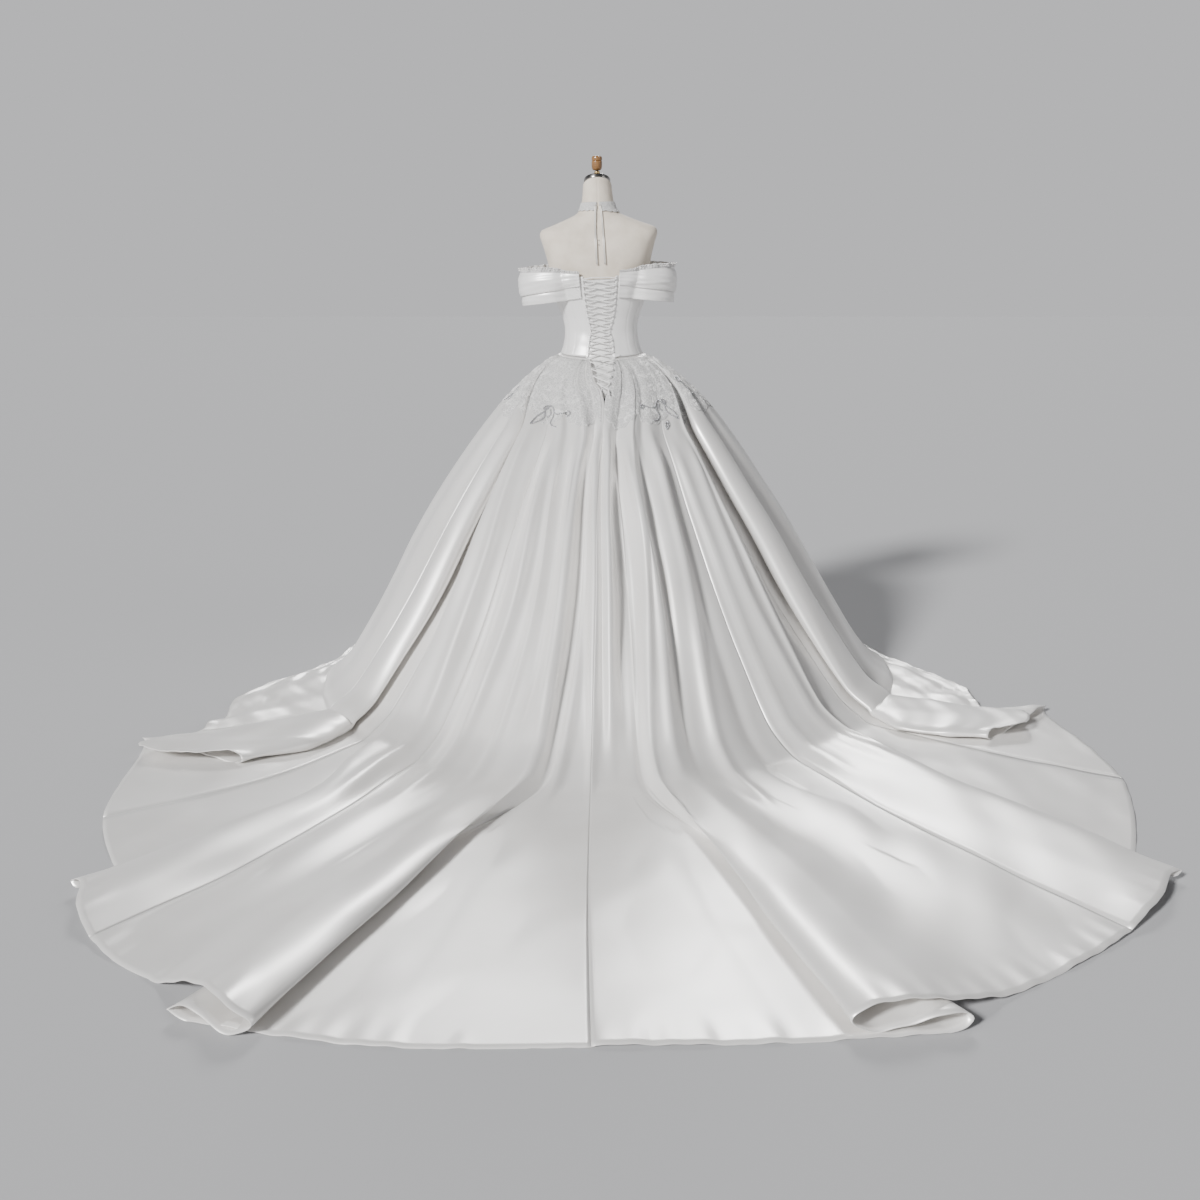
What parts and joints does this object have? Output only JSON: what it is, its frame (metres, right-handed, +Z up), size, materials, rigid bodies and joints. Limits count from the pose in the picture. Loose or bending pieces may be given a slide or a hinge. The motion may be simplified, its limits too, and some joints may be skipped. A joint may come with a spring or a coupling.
{
  "type": "wedding dress on dress form",
  "caption": "Off-shoulder satin wedding dress with a laced back and a long pleated train, worn by a limbless dress form on a round stand.",
  "frame": {"origin": "centre of the stand foot's underside, on the floor", "axes": "+Z up; +Y towards the front of the wearer, so the laced back and the train lie towards -Y; +X to the wearer's right"},
  "size_m": [2.7128, 3.287, 1.6726],
  "materials": {
    "satin": "smooth ivory satin, soft sheen",
    "lace": "matt corded lace, ivory",
    "cord": "satin cord and ribbon, ivory",
    "linen": "plain beige linen, matt",
    "steel": "dark brushed",
    "brass": "satin",
    "wood": "clear lacquered"
  },
  "bodies": {
    "root": {"stand_foot": "steel", "stand_pole": "steel", "form_torso": "linen", "neck_plate": "steel", "finial_stem": "brass", "finial_knob": "wood", "bodice_back_left": "satin", "bodice_back_right": "satin", "bodice_side_left": "satin", "bodice_side_right": "satin", "bodice_front": "satin", "skirt_train_right": "satin", "skirt_back_right": "satin", "skirt_side_back_right": "satin", "skirt_side_front_right": "satin", "skirt_front": "satin", "skirt_side_front_left": "satin", "skirt_side_back_left": "satin", "skirt_back_left": "satin", "skirt_train_left": "satin", "modesty_panel": "satin", "loop_strip_left": "satin", "loop_strip_right": "satin", "lacing": "cord", "sleeve_upper_left": "satin", "sleeve_lower_left": "satin", "sleeve_upper_right": "satin", "sleeve_lower_right": "satin", "lace_trim_left": "lace", "lace_trim_right": "lace", "choker": "lace", "nape_tie_left": "cord", "nape_tie_right": "cord"}
  },
  "joints": []
}
